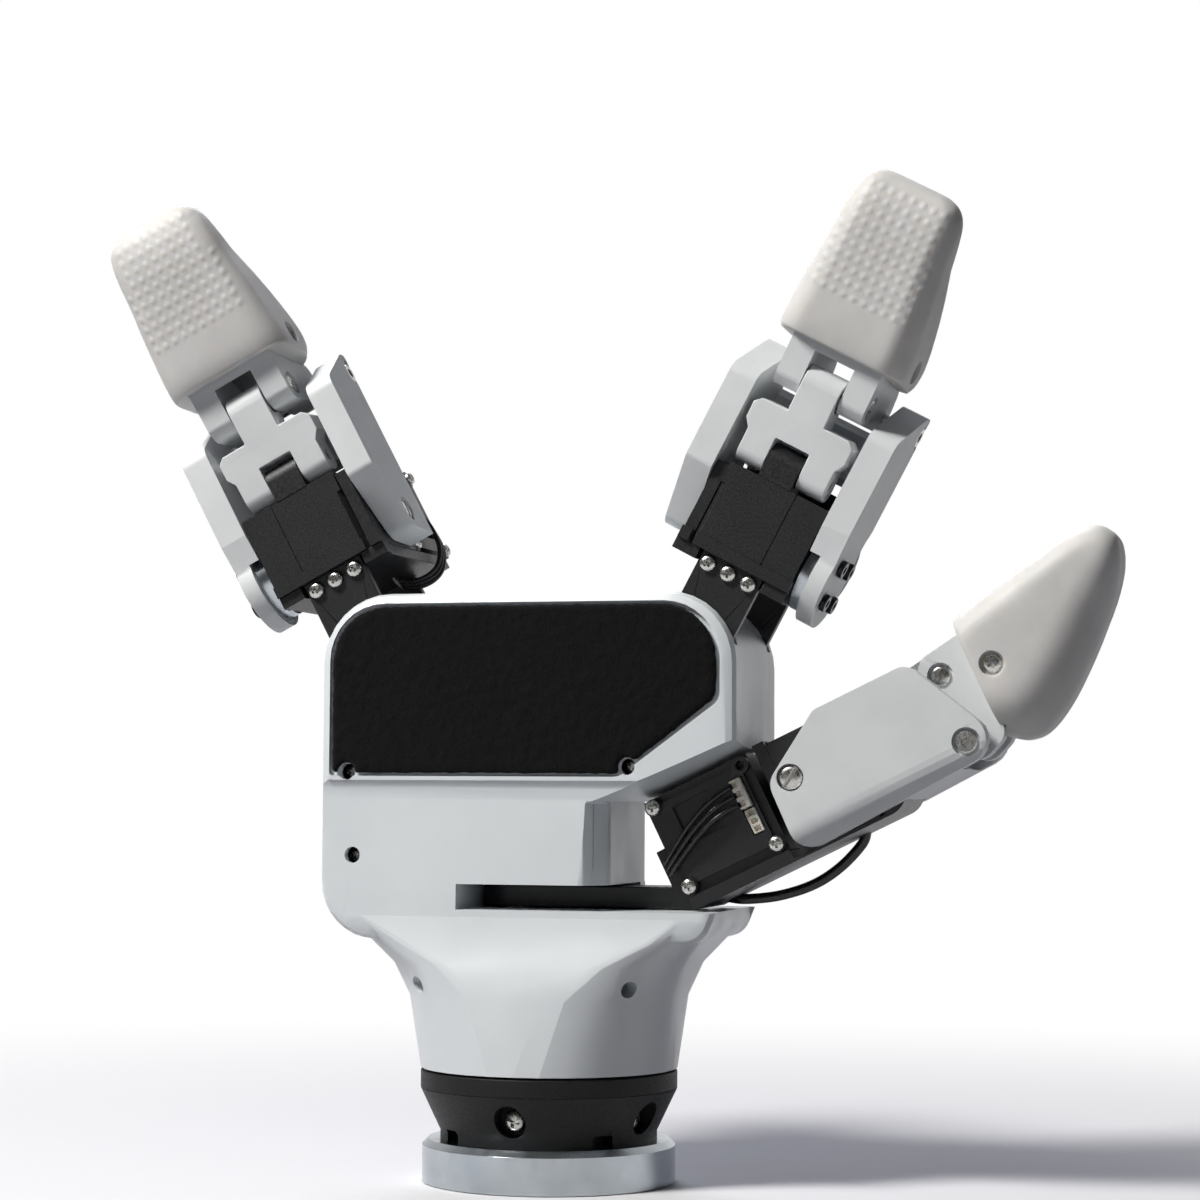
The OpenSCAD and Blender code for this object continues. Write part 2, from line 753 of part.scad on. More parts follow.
// Tube of round section along a list of points
module tube(path, r, sides = 8) {
  n = len(path);
  rings = [for (i = [0:n - 1])
    let (
      d = unit(path[min(i + 1, n - 1)] - path[max(i - 1, 0)]),
      s = unit(cross(d, [0, 1, 0.13])),
      t = cross(s, d)
    )
    each [for (k = [0:sides - 1]) path[i] + r * (cos(360 * k / sides) * s + sin(360 * k / sides) * t)]
  ];
  polyhedron(rings, concat(
    [[for (k = [0:sides - 1]) k]],
    [for (i = [0:n - 2], k = [0:sides - 1])
      [i * sides + k, (i + 1) * sides + k, (i + 1) * sides + (k + 1) % sides, i * sides + (k + 1) % sides]],
    [[for (k = [sides - 1:-1:0]) (n - 1) * sides + k]]
  ), convexity = 6);
}

module thumb_wires() {
  color("#101012") for (j = [-1:1])
    tube([for (t = [0:0.3:6]) bspline(wire_route, t) + [0, j * (2.4 - 0.16 * t), 0]], wire_r);
}

mounting_ring();
wrist_flange();
wrist_collar();
wrist_screws();
front_shell();
back_shell();
foam_pad();
shell_screws();
palm_frame();
spread_pins();
swing_pin();
swing_servo();

at_index() bracket();  // index_bracket
at_index() flex_servo();  // index_flex_servo
at_index() rear_servo();  // index_rear_servo
at_index() base_screws();  // index_base_screws
at_index() boss();  // index_boss
at_index() at_proximal(finger_flex) horn();  // index_horn
at_index() at_proximal(finger_flex) horn_cover();  // index_horn_cover
at_index() at_proximal(finger_flex) idler_cover();  // index_idler_cover
at_index() at_proximal(finger_flex) horn_screws();  // index_horn_screws
at_index() at_proximal(finger_flex) pivot_screws();  // index_pivot_screws
at_index() at_rod(finger_flex) rod();  // index_rod
at_index() at_tip(finger_flex) tip_link();  // index_tip_link
at_index() at_tip(finger_flex) tip_pins();  // index_tip_pins
at_index() at_tip(finger_flex) tip_pad();  // index_tip_pad

at_middle() bracket();  // middle_bracket
at_middle() flex_servo();  // middle_flex_servo
at_middle() rear_servo();  // middle_rear_servo
at_middle() base_screws();  // middle_base_screws
at_middle() boss();  // middle_boss
at_middle() at_proximal(finger_flex) horn();  // middle_horn
at_middle() at_proximal(finger_flex) horn_cover();  // middle_horn_cover
at_middle() at_proximal(finger_flex) idler_cover();  // middle_idler_cover
at_middle() at_proximal(finger_flex) horn_screws();  // middle_horn_screws
at_middle() at_proximal(finger_flex) pivot_screws();  // middle_pivot_screws
at_middle() at_rod(finger_flex) rod();  // middle_rod
at_middle() at_tip(finger_flex) tip_link();  // middle_tip_link
at_middle() at_tip(finger_flex) tip_pins();  // middle_tip_pins
at_middle() at_tip(finger_flex) tip_pad();  // middle_tip_pad

thumb_arm();
at_thumb() mirror([1, 0, 0]) thumb_base_servo();
at_thumb() thumb_housing();
at_thumb() flex_servo();  // thumb_flex_servo
at_thumb() mirror([1, 0, 0]) thumb_base_screws();
at_thumb() mirror([1, 0, 0]) thumb_plug();
at_thumb() mirror([1, 0, 0]) thumb_wires();
at_thumb() boss();  // thumb_boss
at_thumb() horn();  // thumb_horn
at_thumb() horn_cover();  // thumb_horn_cover
at_thumb() idler_cover();  // thumb_idler_cover
at_thumb() horn_screws();  // thumb_horn_screws
at_thumb() pivot_screws();  // thumb_pivot_screws
at_thumb() at_rod(0) rod();  // thumb_rod
at_thumb() at_tip(0) tip_link();  // thumb_tip_link
at_thumb() at_tip(0) tip_pins();  // thumb_tip_pins
at_thumb() at_tip(0) tip_pad();  // thumb_tip_pad
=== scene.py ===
"""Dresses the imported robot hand: finishes, soft pads, screws and wires, on a plain stage."""

import json
import math
import random

import bmesh
import bpy
from bpy.props import FloatProperty, FloatVectorProperty, PointerProperty
from mathutils import Matrix, Vector


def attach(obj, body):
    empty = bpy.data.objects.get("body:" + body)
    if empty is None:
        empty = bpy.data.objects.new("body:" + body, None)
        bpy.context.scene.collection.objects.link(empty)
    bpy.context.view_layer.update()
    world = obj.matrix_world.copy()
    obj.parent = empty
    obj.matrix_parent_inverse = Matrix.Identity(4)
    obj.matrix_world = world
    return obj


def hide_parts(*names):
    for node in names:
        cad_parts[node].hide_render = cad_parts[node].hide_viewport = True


bl_info = {
    "name": "Robot Hand Dresser",
    "version": (1, 0, 0),
    "blender": (4, 5, 0),
    "location": "3D View > Sidebar > Robot Hand",
    "description": "Finishes, soft pads, screws and wires for a three-fingered robot hand",
    "category": "Object",
}

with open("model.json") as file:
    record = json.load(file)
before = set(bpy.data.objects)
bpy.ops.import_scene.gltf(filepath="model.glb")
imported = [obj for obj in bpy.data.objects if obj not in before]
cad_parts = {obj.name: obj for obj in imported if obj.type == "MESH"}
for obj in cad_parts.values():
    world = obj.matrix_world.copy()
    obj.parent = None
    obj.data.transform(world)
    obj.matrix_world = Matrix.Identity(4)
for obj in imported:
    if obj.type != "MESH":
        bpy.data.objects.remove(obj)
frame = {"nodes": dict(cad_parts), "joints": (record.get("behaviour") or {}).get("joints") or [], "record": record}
NODES = frame["nodes"]
FINGERS = ("index", "middle", "thumb")
MM = 0.001


# ---------- Small tools ----------

def srgb(hex_colour):
    """Linear RGBA of an sRGB hex colour."""
    out = []
    for i in (1, 3, 5):
        c = int(hex_colour[i:i + 2], 16) / 255
        out.append(c / 12.92 if c <= 0.04045 else ((c + 0.055) / 1.055) ** 2.4)
    return (*out, 1.0)


def add(tree, kind, links=None, **settings):
    """Adds a node, sets its sockets and properties, and links its inputs."""
    node = tree.nodes.new(kind)
    for name, value in settings.items():
        if name in node.inputs:
            node.inputs[name].default_value = value
        else:
            setattr(node, name, value)
    for name, source in (links or {}).items():
        tree.links.new(source, node.inputs[name])
    return node


def set_sockets(node, values):
    """Sets a node's sockets whose names have spaces, or that go by number."""
    for name, value in values.items():
        node.inputs[name].default_value = value


def settings():
    return bpy.context.scene.hand_settings


def into_scene(obj):
    bpy.context.scene.collection.objects.link(obj)
    return obj


def smooth(data):
    """Shades a whole mesh smooth."""
    data.polygons.foreach_set("use_smooth", [True] * len(data.polygons))


def mesh_object(name, bm, material, rounded=True):
    """Turns a bmesh into an object with one material, shaded smooth or flat."""
    bmesh.ops.recalc_face_normals(bm, faces=bm.faces)
    data = bpy.data.meshes.new(name)
    bm.to_mesh(data)
    bm.free()
    data.materials.append(material)
    if rounded:
        smooth(data)
    return into_scene(bpy.data.objects.new(name, data))


def apply_modifiers(obj):
    """Replaces an object's mesh by the mesh its modifiers give."""
    graph = bpy.context.evaluated_depsgraph_get()
    data = bpy.data.meshes.new_from_object(obj.evaluated_get(graph))
    obj.modifiers.clear()
    obj.data = data


def from_finger(data, m):
    """Moves a mesh from a finger's own frame, in mm, to the row's.

    The frames of the middle finger and the thumb are mirrored, so their faces are turned over.
    """
    m = m @ Matrix.Scale(MM, 4)
    data.transform(m)
    if m.determinant() < 0:
        data.flip_normals()


def circle(r, steps, centre=(0, 0)):
    """Points round a circle."""
    turns = (2 * math.pi * k / steps for k in range(steps))
    return [(centre[0] + r * math.cos(a), centre[1] + r * math.sin(a)) for a in turns]


def loft(bm, rings, closed=True):
    """Skins rings of points one after another and closes the first end, and the last if asked."""
    made = [[bm.verts.new(p) for p in ring] for ring in rings]
    for a, b in zip(made, made[1:]):
        for k in range(len(a)):
            j = (k + 1) % len(a)
            bm.faces.new((a[k], a[j], b[j], b[k]))
    bm.faces.new(made[0])
    if closed:
        bm.faces.new(made[-1])
    return made


def cut(obj, cutters):
    """Cuts solids out of an object."""
    for bm in cutters:
        tool = mesh_object("cutter", bm, obj.data.materials[0], rounded=False)
        m = obj.modifiers.new("Cut", "BOOLEAN")
        m.object = tool
        m.solver = "EXACT"
        apply_modifiers(obj)
        bpy.data.objects.remove(tool)


# ---------- Places, from the frame ----------

# Where the rod's boss is from the flexion pivot, outwards and palmward, mm
BOSS_AT = (20.5, 7.0)
# Where the tip's pivot is while the finger is straight, outwards and palmward, mm
TIP_PIVOT = (41.5, -10.7)
# Bend of the tip while the finger is straight, degrees, and its gain with flexion
TIP_START = 28.0
TIP_GAIN = 1.55


def joint(name):
    return next(j for j in frame["joints"] if j["name"] == name)


def spot(name):
    return Vector(joint(name)["pos_m"])


def finger_frame(finger):
    """Matrix from a finger's own frame (x across, y towards the back, z outwards) to the row's."""
    side = 1 if finger == "index" else -1
    across = Vector(joint(finger + "_flex")["axis"]).normalized() * side
    boss = (spot(finger + "_rod_turn") - spot(finger + "_flex")).normalized()
    turn = across.cross(boss) * side
    angle = math.atan2(BOSS_AT[1], BOSS_AT[0])
    out = boss * math.cos(angle) - turn * math.sin(angle)
    palmward = boss * math.sin(angle) + turn * math.cos(angle)
    m = Matrix((across, -palmward, out)).transposed().to_4x4()
    m.translation = spot(finger + "_flex")
    return m


def flexion(finger):
    """Flexion of a finger at rest, degrees."""
    m = finger_frame(finger)
    p = m.inverted() @ spot(finger + "_tip_bend")
    at = math.atan2(-p.y, p.z)
    return math.degrees(at - math.atan2(TIP_PIVOT[1], TIP_PIVOT[0]))


def tip_frame(finger):
    """Matrix from a fingertip's own frame, with the tip pivot at the origin, to the row's."""
    bend = TIP_START + TIP_GAIN * flexion(finger)
    m = finger_frame(finger)
    m.translation = spot(finger + "_tip_bend")
    return m @ Matrix.Rotation(math.radians(bend), 4, "X")


def islands(node):
    """The separate solids of a CAD node, as lists of points."""
    data = NODES[node].data
    parent = {}

    def root(a):
        while parent.setdefault(a, a) != a:
            parent[a] = parent[parent[a]]
            a = parent[a]
        return a

    keys = [tuple(round(c * 1e5) for c in v.co) for v in data.vertices]
    for edge in data.edges:
        a, b = (root(keys[i]) for i in edge.vertices)
        parent[a] = b
    groups = {}
    for vertex, key in zip(data.vertices, keys):
        groups.setdefault(root(key), []).append(vertex.co.copy())
    return list(groups.values())


# ---------- Materials ----------

def grain(tree, coords, size_mm, detail=3.0, harshness=0.55, stretch=None):
    """Noise whose grains are size_mm across."""
    if stretch:
        coords = add(tree, "ShaderNodeMapping", {"Vector": coords}, Scale=stretch).outputs["Vector"]
    return add(tree, "ShaderNodeTexNoise", {"Vector": coords}, Scale=1 / (size_mm * MM), Detail=detail,
               Roughness=harshness).outputs["Fac"]


def surface(name, colours, mottle, roughness, sheen_grain, bumps, sockets=None, between=(0.3, 0.7),
            cells=None):
    """A material made from the facts of a finish.

    colours and roughness are the two ends of their range, or roughness is one number. mottle and
    sheen_grain are the grains that they follow: size in mm, detail, harshness. bumps are (depth in mm,
    grain...) and cells are (depth, size) of a foam's cells, in mm. between says how much of the
    mottle's range the colours take.
    """
    m = bpy.data.materials.new(name)
    m.use_nodes = True
    tree = m.node_tree
    principled = tree.nodes["Principled BSDF"]
    for socket, value in (sockets or {}).items():
        principled.inputs[socket].default_value = value
    coords = add(tree, "ShaderNodeTexCoord").outputs["Object"]
    if colours:
        ramp = add(tree, "ShaderNodeValToRGB", {"Fac": grain(tree, coords, *mottle)})
        for element, position, colour in zip(ramp.color_ramp.elements, between, colours):
            element.position = position
            element.color = srgb(colour)
        tree.links.new(ramp.outputs["Color"], principled.inputs["Base Color"])
    if isinstance(roughness, tuple):
        node = add(tree, "ShaderNodeMapRange", {"Value": grain(tree, coords, *sheen_grain)})
        set_sockets(node, {"From Min": 0.3, "From Max": 0.7, "To Min": roughness[0], "To Max": roughness[1]})
        tree.links.new(node.outputs["Result"], principled.inputs["Roughness"])
    else:
        principled.inputs["Roughness"].default_value = roughness
    heights = [(depth, grain(tree, coords, *rest)) for depth, *rest in bumps]
    if cells:
        foam = add(tree, "ShaderNodeTexVoronoi", {"Vector": coords}, Scale=1 / (cells[1] * MM))
        heights.append((cells[0], foam.outputs["Distance"]))
    normal = None
    for depth, height in heights:
        links = {"Height": height, "Normal": normal} if normal else {"Height": height}
        normal = add(tree, "ShaderNodeBump", links, Distance=depth * MM, Strength=1.0).outputs["Normal"]
    if normal:
        tree.links.new(normal, principled.inputs["Normal"])
    return m


def sprayed_enamel():
    """Satin polyurethane enamel sprayed on moulded ABS: a cool white with faint orange peel and grit."""
    return surface("Sprayed enamel", ("#d6dbde", "#e0e5e7"), (42, 4), (0.30, 0.42), (9,),
                   ((0.012, 1.6, 2), (0.004, 0.35, 2)), {"Coat Weight": 0.25, "Coat Roughness": 0.28})


def moulded_nylon():
    """Injection moulded nylon: a flatter white than the enamel, with fine spark texture and no coat."""
    return surface("Moulded nylon", ("#d2d5d6", "#dcdfe0"), (18,), (0.46, 0.58), (3,), ((0.012, 0.45, 2),),
                   {"IOR": 1.53, "Subsurface Weight": 0.06, "Subsurface Radius": (0.6, 0.5, 0.4),
                    "Subsurface Scale": 1.5 * MM})


def cast_silicone():
    """Cast silicone rubber: milky, because light goes in a few millimetres, with a dull sheen."""
    return surface("Cast silicone", ("#cccbc8", "#d7d6d4"), (12, 5), (0.44, 0.60), (2.2, 4),
                   ((0.012, 0.6, 3),),
                   {"IOR": 1.41, "Subsurface Weight": 0.6, "Subsurface Radius": (1.0, 0.82, 0.62),
                    "Subsurface Scale": 3.4 * MM, "Sheen Weight": 0.12, "Sheen Roughness": 0.5})


def moulded_abs():
    """Black ABS with a spark-eroded texture: satin, its grain catches small points of light."""
    return surface("Moulded ABS", ("#101113", "#17181b"), (7,), (0.34, 0.52), (0.5,), ((0.030, 0.38, 2),))


def sintered_nylon():
    """Black nylon sintered from powder: dull, with a sandy grain."""
    return surface("Sintered nylon", ("#08090a", "#121315"), (0.7,), (0.44, 0.64), (0.6,),
                   ((0.10, 0.8, 4, 0.7), (0.03, 0.3)), {"Specular IOR Level": 0.32})


def turned_aluminium(name, groove_mm, smoothest):
    """Bare aluminium turned on a lathe: bright, with fine rings round its axis that smear highlights."""
    # The grooves run round the axis, so their noise is fine along Z only; drawn coarser than the real feed
    rings = (0.006, groove_mm, 2, 0.55, (0.02, 0.02, 1.0))
    return surface(name, ("#a9b0b6", "#c2c8cc"), (14, 4), (smoothest, smoothest + 0.08), (5, 4), (rings,),
                   {"Metallic": 1.0, "Anisotropic": 0.5})


def plated_steel():
    """Nickel-plated machine screws: hard bright points with slightly dull flanks."""
    return surface("Plated steel", ("#b9b8b4", "#d2d1cd"), (1.2,), (0.20, 0.34), (0.6,), ((0.003, 0.3),),
                   {"Metallic": 1.0})


def black_oxide():
    """Black oxide steel screws: nearly black metal with an oily gloss."""
    return surface("Black oxide", ("#1b1c1f", "#2c2d31"), (1.0,), (0.26, 0.40), (0.6,), ((0.006, 0.3),),
                   {"Metallic": 0.7})


def neoprene_foam():
    """Open-skinned neoprene foam: deep black, matt, a little wavy, with a felted grain and fine cells."""
    felt = (1.1, 6, 0.75)
    return surface("Neoprene foam", ("#050506", "#101011"), felt, 0.94, None, ((0.5, 14, 3), (0.30, *felt)),
                   {"Specular IOR Level": 0.12, "Sheen Weight": 0.05, "Sheen Roughness": 0.6},
                   between=(0.35, 0.75), cells=(0.10, 0.7))


def pvc_sheath():
    """Extruded PVC wire sheath: black and a little glossy."""
    return surface("PVC sheath", ("#0d0d0f", "#17171a"), (3,), (0.24, 0.36), (1.5,), ((0.008, 0.6),))


def anodised_aluminium():
    """Dark anodised aluminium plate: grey-black metal with a fine blasted grain."""
    return surface("Anodised aluminium", ("#2b2c2f", "#37393d"), (2,), (0.36, 0.5), (0.5,), ((0.01, 0.3),),
                   {"Metallic": 0.8})


def connector_nylon():
    """Natural nylon of small connectors: creamy and slightly waxy."""
    return surface("Connector nylon", ("#e4e0d2", "#efece1"), (3,), (0.34, 0.46), (1,), ((0.008, 0.4),),
                   {"Subsurface Weight": 0.15, "Subsurface Scale": 1.0 * MM})


# The record's material slots
FINISHES = {
    "machined_aluminium": lambda: turned_aluminium("Turned aluminium", 0.30, 0.16),
    "turned_aluminium": lambda: turned_aluminium("Faced aluminium", 0.35, 0.26),
    "bright_steel": plated_steel,
    "black_screws": black_oxide,
    "white_shell": sprayed_enamel,
    "white_moulding": moulded_nylon,
    "white_plug": connector_nylon,
    "silicone_pad": cast_silicone,
    "palm_foam": neoprene_foam,
    "black_wrist": sintered_nylon,
    "black_case": moulded_abs,
    "dark_frame": anodised_aluminium,
    "wire_sheath": pvc_sheath,
}
made_finishes = {}


def finish(slot_name):
    """The material of one of the record's slots, made once."""
    if slot_name not in made_finishes:
        made_finishes[slot_name] = FINISHES[slot_name]()
    return made_finishes[slot_name]


def place(obj, body, slot_name, *stands_for):
    """Rides a piece on its body and hides the CAD nodes that it stands for. slot_name is not used."""
    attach(obj, body)
    if stands_for:
        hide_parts(*stands_for)
    return obj


# ---------- Settings ----------

class HandSettings(bpy.types.PropertyGroup):
    bump_pitch: FloatProperty(
        name="Bump pitch", description="Spacing of the grip bumps on a fingertip",
        default=2.75 * MM, min=1.5 * MM, max=5 * MM, unit="LENGTH")
    bump_height: FloatProperty(
        name="Bump height", description="Height of a grip bump",
        default=0.17 * MM, min=0.1 * MM, max=1 * MM, unit="LENGTH")
    shell_edge: FloatProperty(
        name="Shell edge", description="Radius of the palm shells' edges",
        default=0.5 * MM, min=0.1 * MM, max=2 * MM, unit="LENGTH")
    case_edge: FloatProperty(
        name="Case edge", description="Radius of the edges of the servo cases and other parts",
        default=0.35 * MM, min=0.05 * MM, max=1 * MM, unit="LENGTH")
    cover_edge: FloatProperty(
        name="Cover edge", description="Radius of the edges of the finger covers, rods and tip links",
        default=0.55 * MM, min=0.05 * MM, max=1.5 * MM, unit="LENGTH")
    lamp_power: FloatProperty(
        name="Key lamp", description="Power of the key lamp",
        default=29.5, min=0.0, max=100.0, unit="POWER")
    backdrop: FloatVectorProperty(
        name="Backdrop", description="Colour of the floor near the hand",
        default=srgb("#dcdcde")[:3], size=3, min=0.0, max=1.0, subtype="COLOR")


# ---------- Finishes and edges of the CAD solids ----------

# Points of a CAD mesh closer than this are one
WELD = 0.01 * MM
# Edges of the turned wrist parts, which aren't a setting
WRIST_EDGE = 0.3 * MM
# Edges sharper than this are rounded, degrees
SHARP = 32


def edge_width(node):
    if node in ("front_shell", "back_shell"):
        return settings().shell_edge
    if node.endswith(("_cover", "_rod", "_tip_link")):
        return settings().cover_edge
    if node in ("mounting_ring", "wrist_flange", "wrist_collar"):
        return WRIST_EDGE
    return settings().case_edge


class HAND_OT_finishes(bpy.types.Operator):
    """Gives each CAD solid its finish and softens its edges"""
    bl_idname = "hand.finishes"
    bl_label = "Finishes"

    def execute(self, context):
        for part in frame["record"]["subparts"]:
            obj = NODES[part["node"]]
            obj.data.materials.clear()
            obj.data.materials.append(finish(part["material_slot"]))
            weld = obj.modifiers.new("Weld", "WELD")
            weld.merge_threshold = WELD
            edge = obj.modifiers.new("Edges", "BEVEL")
            edge.width = edge_width(part["node"])
            edge.segments = 3
            edge.limit_method = "ANGLE"
            edge.angle_limit = math.radians(SHARP)
            edge.harden_normals = False
            edge.miter_outer = "MITER_ARC"
            shade = obj.modifiers.new("Shading", "WEIGHTED_NORMAL")
            shade.keep_sharp = False
            smooth(obj.data)
        return {"FINISHED"}


# ---------- Soft fingertips ----------

# Stations of a fingertip from its open end to its top: palm-side point and back point (along,
# palmward) in the tip's own frame, and half width, mm
PAD_STATIONS = (
    ((20.4, 20.3), (5.8, -5.4), 16.4),
    ((21.2, 20.6), (8.0, -9.6), 16.9),
    ((24.5, 20.1), (12.6, -12.3), 16.9),
    ((30.5, 18.3), (21.0, -12.6), 16.4),
    ((38.0, 15.9), (31.5, -10.9), 15.6),
    ((45.0, 13.6), (41.0, -8.6), 14.6),
    ((50.0, 11.9), (47.8, -6.5), 14.2),
    ((54.2, 10.1), (53.2, -4.1), 13.7),
    ((56.8, 8.6), (56.3, -2.1), 12.9),
    ((58.6, 7.1), (58.3, -0.4), 11.5),
    ((59.6, 5.8), (59.5, 1.0), 9.5),
    ((60.1, 4.6), (60.1, 2.2), 7.0),
)
# Rows of mesh points along a fingertip, and points across its palm side and round its back
PAD_ROWS = 170
PALM_COLUMNS = 116
BACK_COLUMNS = 60
# Corner radii of a section on the palm side and on the back, as shares of the half width, and the
# most that they take of its depth
PALM_CORNER, PALM_CORNER_MOST = 0.40, 0.45
BACK_CORNER, BACK_CORNER_MOST = 0.80, 0.52
# Angle at which a section's palm side meets its flank, seen from the corner's centre, degrees
CORNER_SPLIT = 38
# Where the grip bumps start and stop along the fingertip, mm, and the share of the width they cover
BUMP_REACH = (32.6, 57.9)
BUMP_SPREAD = 0.86
# A bump's radius as a share of the pitch, and how steep its flanks are
BUMP_RADIUS = 0.38
BUMP_STEEPNESS = 1.1
# The link's pocket inside the pad, in the tip's own frame, mm
POCKET = ((0, -4.2), (14, -4.2), (18, 2.6), (34.4, 1.6), (34.4, 11.4), (20, 18), (14, 30), (0, 30))
POCKET_HALF = 12.1
# The wells of the pad's screws: place, radius, and where they start and stop across
PAD_SCREW = (18.2, 6.7)
SCREW_WELL = 3.0
WELL_REACH = (15.2, 25)


def catmull(points, t):
    """Point at t, counted in points, on a smooth line through a list of number rows."""
    i = min(int(t), len(points) - 2)
    f = t - i
    rows = (points[min(max(k, 0), len(points) - 1)] for k in (i - 1, i, i + 1, i + 2))
    return [0.5 * (2 * b + (c - a) * f
                   + (2 * a - 5 * b + 4 * c - d) * f ** 2
                   + (3 * b - a - 3 * c + d) * f ** 3)
            for a, b, c, d in zip(*rows)]


def arc(cx, cy, r, start, stop, steps):
    """Points along an arc, angles in degrees."""
    turns = (math.radians(start + (stop - start) * k / steps) for k in range(steps + 1))
    return [(cx + r * math.cos(a), cy + r * math.sin(a)) for a in turns]


def section(half, depth):
    """Closed section of a pad: flat palm side at depth, round back at 0, as (across, depth)."""
    palm_r = min(half * PALM_CORNER, depth * PALM_CORNER_MOST)
    back_r = min(half * BACK_CORNER, depth * BACK_CORNER_MOST)
    left, right, top = -half + palm_r, half - palm_r, depth - palm_r
    palm = arc(left, top, palm_r, 180 - CORNER_SPLIT, 90, 6) + arc(right, top, palm_r, 90, CORNER_SPLIT, 6)
    back = (arc(right, top, palm_r, CORNER_SPLIT, 0, 4)
            + arc(half - back_r, back_r, back_r, 0, -90, 14)
            + arc(-half + back_r, back_r, back_r, -90, -180, 14)
            + arc(left, top, palm_r, 180, 180 - CORNER_SPLIT, 4))
    return even(palm, PALM_COLUMNS) + even(back, BACK_COLUMNS)


def even(line, count):
    """Even points along an open line, its last point left out."""
    far = [0.0]
    for p, q in zip(line, line[1:]):
        far.append(far[-1] + math.dist(p, q))
    out, j = [], 0
    for k in range(count):
        want = far[-1] * k / count
        while far[j + 1] < want:
            j += 1
        f = (want - far[j]) / max(far[j + 1] - far[j], 1e-9)
        out.append(tuple(p + (q - p) * f for p, q in zip(line[j], line[j + 1])))
    return out


def even_steps(rows, count):
    """Places along a list of stations, counted in stations, that stand about equally far apart."""
    fine = [k / 40 for k in range(40 * (len(rows) - 1) + 1)]
    points = [catmull(rows, t) for t in fine]
    far = [0.0]
    for a, b in zip(points, points[1:]):
        far.append(far[-1] + max(math.dist(a[:2], b[:2]), math.dist(a[2:4], b[2:4]), abs(a[4] - b[4])))
    out, j = [], 0
    for k in range(count + 1):
        want = far[-1] * k / count
        while j < len(far) - 2 and far[j + 1] < want:
            j += 1
        out.append(fine[j] + (fine[j + 1] - fine[j]) * min(1, (want - far[j]) / (far[j + 1] - far[j])))
    return out


def bump_room(along):
    """Half of the width that the grip bumps cover at a place along the palm side, mm."""
    for (start, _, half), (stop, _, next_half) in zip(PAD_STATIONS, PAD_STATIONS[1:]):
        if start[0] <= along <= stop[0]:
            return (half + (next_half - half) * (along - start[0]) / (stop[0] - start[0])) * BUMP_SPREAD
    return 0.0


def bump_lift(along, across):
    """Height of the grip bumps at a place on the palm side, mm; they stand in straight rows and columns."""
    pitch = settings().bump_pitch / MM
    row, column = round(along / pitch) * pitch, (math.floor(across / pitch) + 0.5) * pitch
    if not BUMP_REACH[0] <= row <= BUMP_REACH[1] or abs(column) > bump_room(row):
        return 0.0
    d = math.dist((along, across), (row, column)) / (BUMP_RADIUS * pitch)
    return math.cos(d * math.pi / 2) ** BUMP_STEEPNESS * settings().bump_height / MM if d < 1 else 0.0


def pad_mesh():
    """A fingertip pad in the tip's own frame, in mm."""
    rows = [(*palm, *back, half) for palm, back, half in PAD_STATIONS]
    rings = []
    for t in even_steps(rows, PAD_ROWS):
        palm_s, palm_q, back_s, back_q, half = catmull(rows, t)
        depth = math.dist((palm_s, palm_q), (back_s, back_q))
        lean_s, lean_q = (palm_s - back_s) / depth, (palm_q - back_q) / depth
        rings.append([(x, -(back_q + lean_q * y), back_s + lean_s * y) for x, y in section(half, depth)])
    bm = bmesh.new()
    made = loft(bm, rings)
    bmesh.ops.recalc_face_normals(bm, faces=bm.faces)
    bm.normal_update()
    for ring in made:
        for v in ring[:PALM_COLUMNS + 1]:
            lift = bump_lift(v.co.z, v.co.x)
            if lift:
                v.co += v.normal * lift
    return bm


def prism(outline, x0, x1):
    """Solid of a (along, palmward) outline between two places across, in a finger's own frame."""
    bm = bmesh.new()
    loft(bm, [[(x, -q, s) for s, q in outline] for x in (x0, x1)])
    return bm


class HAND_OT_fingertips(bpy.types.Operator):
    """Casts the soft fingertip pads with their grip bumps"""
    bl_idname = "hand.fingertips"
    bl_label = "Fingertips"

    def execute(self, context):
        cast = mesh_object("pad shape", pad_mesh(), finish("silicone_pad"))
        near, far = WELL_REACH
        well = circle(SCREW_WELL, 32, PAD_SCREW)
        cut(cast, [prism(outline, x0, x1) for outline, x0, x1 in (
            (POCKET, -POCKET_HALF, POCKET_HALF), (well, -far, -near), (well, near, far))])
        smooth(cast.data)
        for finger in FINGERS:
            data = cast.data.copy()
            from_finger(data, tip_frame(finger))
            data.set_sharp_from_angle(angle=math.radians(40))
            obj = into_scene(bpy.data.objects.new(finger + "_soft_tip", data))
            place(obj, finger + "_tip", "silicone_pad", finger + "_tip_pad")
        bpy.data.objects.remove(cast)
        return {"FINISHED"}


# ---------- Palm foam ----------

